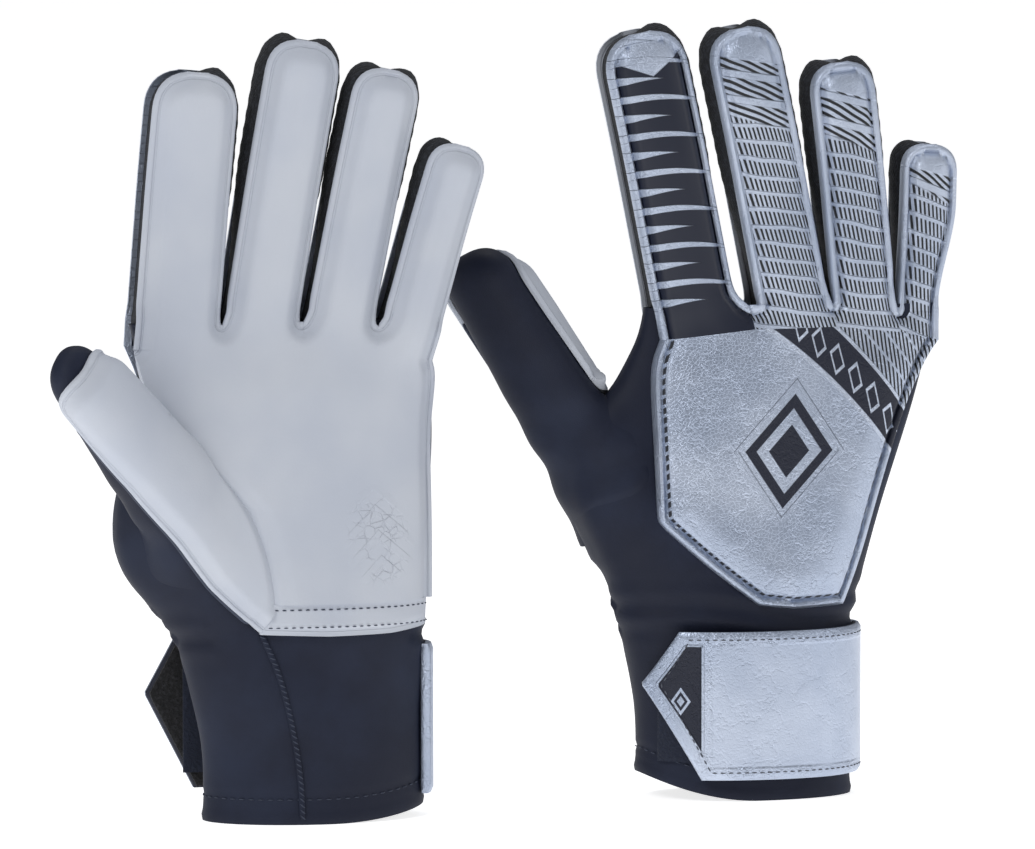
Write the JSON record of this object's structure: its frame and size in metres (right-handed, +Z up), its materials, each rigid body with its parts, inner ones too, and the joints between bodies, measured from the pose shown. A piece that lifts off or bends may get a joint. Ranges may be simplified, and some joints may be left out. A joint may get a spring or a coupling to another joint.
{
  "type": "goalkeeper gloves",
  "caption": "Pair of goalkeeper gloves with foam latex palms, padded silver backhands, mesh finger gussets, fabric cuffs and peel-open wrist straps, all fingers bending.",
  "frame": {"origin": "centre of the pair's bounding box, at the level of the cuff hems that the gloves stand on", "axes": "+X runs along the row of the two gloves, from the left-hand glove to the right-hand one; +Y points away from the viewer, who sees the left glove's palm and the right glove's back; +Z points up, towards the fingertips"},
  "size_m": [0.298, 0.1022, 0.2342],
  "materials": {
    "latex_white": "matte foam latex, slightly bluish white",
    "silver_backhand": "satin silver coated leather-like sheet with fine grain",
    "navy_fabric": "matt navy neoprene with a fine knit face",
    "black_mesh": "black stretch knit",
    "hook_tape": "black hook tape",
    "loop_tape": "dark brushed loop tape"
  },
  "bodies": {
    "left_hand": {"left_body_sleeve": "navy_fabric", "left_palm_latex": "latex_white", "left_palm_wrist_band": "latex_white", "left_backhand_panel": "silver_backhand", "left_strap_anchor": "silver_backhand", "left_loop_pad": "loop_tape"},
    "left_index_lower": {"left_index_palm_lower": "latex_white", "left_index_back_lower": "silver_backhand", "left_index_gusset": "black_mesh"},
    "left_index_upper": {"left_index_palm_upper": "latex_white", "left_index_back_upper": "silver_backhand"},
    "left_middle_lower": {"left_middle_palm_lower": "latex_white", "left_middle_back_lower": "silver_backhand", "left_middle_gusset": "black_mesh"},
    "left_middle_upper": {"left_middle_palm_upper": "latex_white", "left_middle_back_upper": "silver_backhand"},
    "left_ring_lower": {"left_ring_palm_lower": "latex_white", "left_ring_back_lower": "silver_backhand", "left_ring_gusset": "black_mesh"},
    "left_ring_upper": {"left_ring_palm_upper": "latex_white", "left_ring_back_upper": "silver_backhand"},
    "left_pinky_lower": {"left_pinky_palm_lower": "latex_white", "left_pinky_back_lower": "silver_backhand", "left_pinky_gusset": "black_mesh"},
    "left_pinky_upper": {"left_pinky_palm_upper": "latex_white", "left_pinky_back_upper": "silver_backhand"},
    "left_thumb": {"left_thumb_back": "navy_fabric", "left_thumb_palm": "latex_white"},
    "left_strap": {"left_strap_band": "silver_backhand", "left_hook_pad": "hook_tape"},
    "right_hand": {"right_body_sleeve": "navy_fabric", "right_palm_latex": "latex_white", "right_palm_wrist_band": "latex_white", "right_backhand_panel": "silver_backhand", "right_strap_anchor": "silver_backhand", "right_loop_pad": "loop_tape"},
    "right_index_lower": {"right_index_palm_lower": "latex_white", "right_index_back_lower": "silver_backhand", "right_index_gusset": "black_mesh"},
    "right_index_upper": {"right_index_palm_upper": "latex_white", "right_index_back_upper": "silver_backhand"},
    "right_middle_lower": {"right_middle_palm_lower": "latex_white", "right_middle_back_lower": "silver_backhand", "right_middle_gusset": "black_mesh"},
    "right_middle_upper": {"right_middle_palm_upper": "latex_white", "right_middle_back_upper": "silver_backhand"},
    "right_ring_lower": {"right_ring_palm_lower": "latex_white", "right_ring_back_lower": "silver_backhand", "right_ring_gusset": "black_mesh"},
    "right_ring_upper": {"right_ring_palm_upper": "latex_white", "right_ring_back_upper": "silver_backhand"},
    "right_pinky_lower": {"right_pinky_palm_lower": "latex_white", "right_pinky_back_lower": "silver_backhand", "right_pinky_gusset": "black_mesh"},
    "right_pinky_upper": {"right_pinky_palm_upper": "latex_white", "right_pinky_back_upper": "silver_backhand"},
    "right_thumb": {"right_thumb_back": "navy_fabric", "right_thumb_palm": "latex_white"},
    "right_strap": {"right_strap_band": "silver_backhand", "right_hook_pad": "hook_tape"}
  },
  "joints": [
    {"name": "left_index_knuckle", "type": "hinge", "parent": "left_hand", "child": "left_index_lower", "pos_m": [-0.1017, -0.00695, 0.151], "axis": [0.9968, 0, -0.0804], "range_deg": [0, 60], "stiffness_Nm_per_rad": 0.05, "deforming": ["left_index_gusset"]},
    {"name": "left_index_middle", "type": "hinge", "parent": "left_index_lower", "child": "left_index_upper", "pos_m": [-0.09864, -0.00695, 0.18888], "axis": [0.9968, 0, -0.0804], "range_deg": [0, 60], "stiffness_Nm_per_rad": 0.02},
    {"name": "left_middle_knuckle", "type": "hinge", "parent": "left_hand", "child": "left_middle_lower", "pos_m": [-0.0757, -0.00595, 0.152], "axis": [0.9864, 0, -0.1646], "range_deg": [0, 60], "stiffness_Nm_per_rad": 0.05, "deforming": ["left_middle_gusset"]},
    {"name": "left_middle_middle", "type": "hinge", "parent": "left_middle_lower", "child": "left_middle_upper", "pos_m": [-0.06879, -0.00595, 0.19343], "axis": [0.9864, 0, -0.1646], "range_deg": [0, 60], "stiffness_Nm_per_rad": 0.02},
    {"name": "left_ring_knuckle", "type": "hinge", "parent": "left_hand", "child": "left_ring_lower", "pos_m": [-0.0515, -0.00645, 0.1515], "axis": [0.9803, 0, -0.1974], "range_deg": [0, 60], "stiffness_Nm_per_rad": 0.05, "deforming": ["left_ring_gusset"]},
    {"name": "left_ring_middle", "type": "hinge", "parent": "left_ring_lower", "child": "left_ring_upper", "pos_m": [-0.044, -0.00645, 0.18875], "axis": [0.9803, 0, -0.1974], "range_deg": [0, 60], "stiffness_Nm_per_rad": 0.02},
    {"name": "left_pinky_knuckle", "type": "hinge", "parent": "left_hand", "child": "left_pinky_lower", "pos_m": [-0.03, -0.00795, 0.149], "axis": [0.9621, 0, -0.2728], "range_deg": [0, 60], "stiffness_Nm_per_rad": 0.05, "deforming": ["left_pinky_gusset"]},
    {"name": "left_pinky_middle", "type": "hinge", "parent": "left_pinky_lower", "child": "left_pinky_upper", "pos_m": [-0.02263, -0.00795, 0.17498], "axis": [0.9621, 0, -0.2728], "range_deg": [0, 60], "stiffness_Nm_per_rad": 0.02},
    {"name": "left_thumb_bend", "type": "hinge", "parent": "left_hand", "child": "left_thumb", "pos_m": [-0.10235, -0.02379, 0.10389], "axis": [0.4989, 0.4883, 0.716], "range_deg": [0, 32], "stiffness_Nm_per_rad": 0.05},
    {"name": "left_strap_peel", "type": "hinge", "parent": "left_hand", "child": "left_strap", "pos_m": [-0.0223, 0.00485, 0], "axis": [0, 0, -1], "range_deg": [0, 115]},
    {"name": "right_glove_apart", "type": "slide", "parent": "left_hand", "child": "right_hand", "axis": [1, 0, 0], "range_m": [0, 0.1]},
    {"name": "right_index_knuckle", "type": "hinge", "parent": "right_hand", "child": "right_index_lower", "pos_m": [0.0636, 0.03865, 0.152], "axis": [-0.9805, 0, -0.1964], "range_deg": [0, 60], "stiffness_Nm_per_rad": 0.05, "deforming": ["right_index_gusset"]},
    {"name": "right_index_middle", "type": "hinge", "parent": "right_index_lower", "child": "right_index_upper", "pos_m": [0.05575, 0.03865, 0.19122], "axis": [-0.9805, 0, -0.1964], "range_deg": [0, 60], "stiffness_Nm_per_rad": 0.02},
    {"name": "right_middle_knuckle", "type": "hinge", "parent": "right_hand", "child": "right_middle_lower", "pos_m": [0.0944, 0.03765, 0.1525], "axis": [-0.9811, 0, -0.1936], "range_deg": [0, 60], "stiffness_Nm_per_rad": 0.05, "deforming": ["right_middle_gusset"]},
    {"name": "right_middle_middle", "type": "hinge", "parent": "right_middle_lower", "child": "right_middle_upper", "pos_m": [0.08627, 0.03765, 0.19371], "axis": [-0.9811, 0, -0.1936], "range_deg": [0, 60], "stiffness_Nm_per_rad": 0.02},
    {"name": "right_ring_knuckle", "type": "hinge", "parent": "right_hand", "child": "right_ring_lower", "pos_m": [0.1175, 0.03915, 0.152], "axis": [-0.9952, 0, -0.0983], "range_deg": [0, 60], "stiffness_Nm_per_rad": 0.05, "deforming": ["right_ring_gusset"]},
    {"name": "right_ring_middle", "type": "hinge", "parent": "right_ring_lower", "child": "right_ring_upper", "pos_m": [0.11377, 0.03915, 0.18982], "axis": [-0.9952, 0, -0.0983], "range_deg": [0, 60], "stiffness_Nm_per_rad": 0.02},
    {"name": "right_pinky_knuckle", "type": "hinge", "parent": "right_hand", "child": "right_pinky_lower", "pos_m": [0.1378, 0.04365, 0.148], "axis": [-0.9985, 0, 0.0548], "range_deg": [0, 60], "stiffness_Nm_per_rad": 0.05, "deforming": ["right_pinky_gusset"]},
    {"name": "right_pinky_middle", "type": "hinge", "parent": "right_pinky_lower", "child": "right_pinky_upper", "pos_m": [0.13928, 0.04365, 0.17496], "axis": [-0.9985, 0, 0.0548], "range_deg": [0, 60], "stiffness_Nm_per_rad": 0.02},
    {"name": "right_thumb_bend", "type": "hinge", "parent": "right_hand", "child": "right_thumb", "pos_m": [0.03723, 0.04152, 0.12071], "axis": [-0.6831, 0.5969, -0.4207], "range_deg": [0, 32], "stiffness_Nm_per_rad": 0.05},
    {"name": "right_strap_peel", "type": "hinge", "parent": "right_hand", "child": "right_strap", "pos_m": [0.118, 0.02685, 0], "axis": [0, 0, 1], "range_deg": [0, 115]}
  ],
  "couplings": [
    {"joint": "left_index_middle", "follows": "left_index_knuckle", "ratio": 1},
    {"joint": "left_middle_middle", "follows": "left_middle_knuckle", "ratio": 1},
    {"joint": "left_ring_middle", "follows": "left_ring_knuckle", "ratio": 1},
    {"joint": "left_pinky_middle", "follows": "left_pinky_knuckle", "ratio": 1},
    {"joint": "right_index_middle", "follows": "right_index_knuckle", "ratio": 1},
    {"joint": "right_middle_middle", "follows": "right_middle_knuckle", "ratio": 1},
    {"joint": "right_ring_middle", "follows": "right_ring_knuckle", "ratio": 1},
    {"joint": "right_pinky_middle", "follows": "right_pinky_knuckle", "ratio": 1}
  ]
}
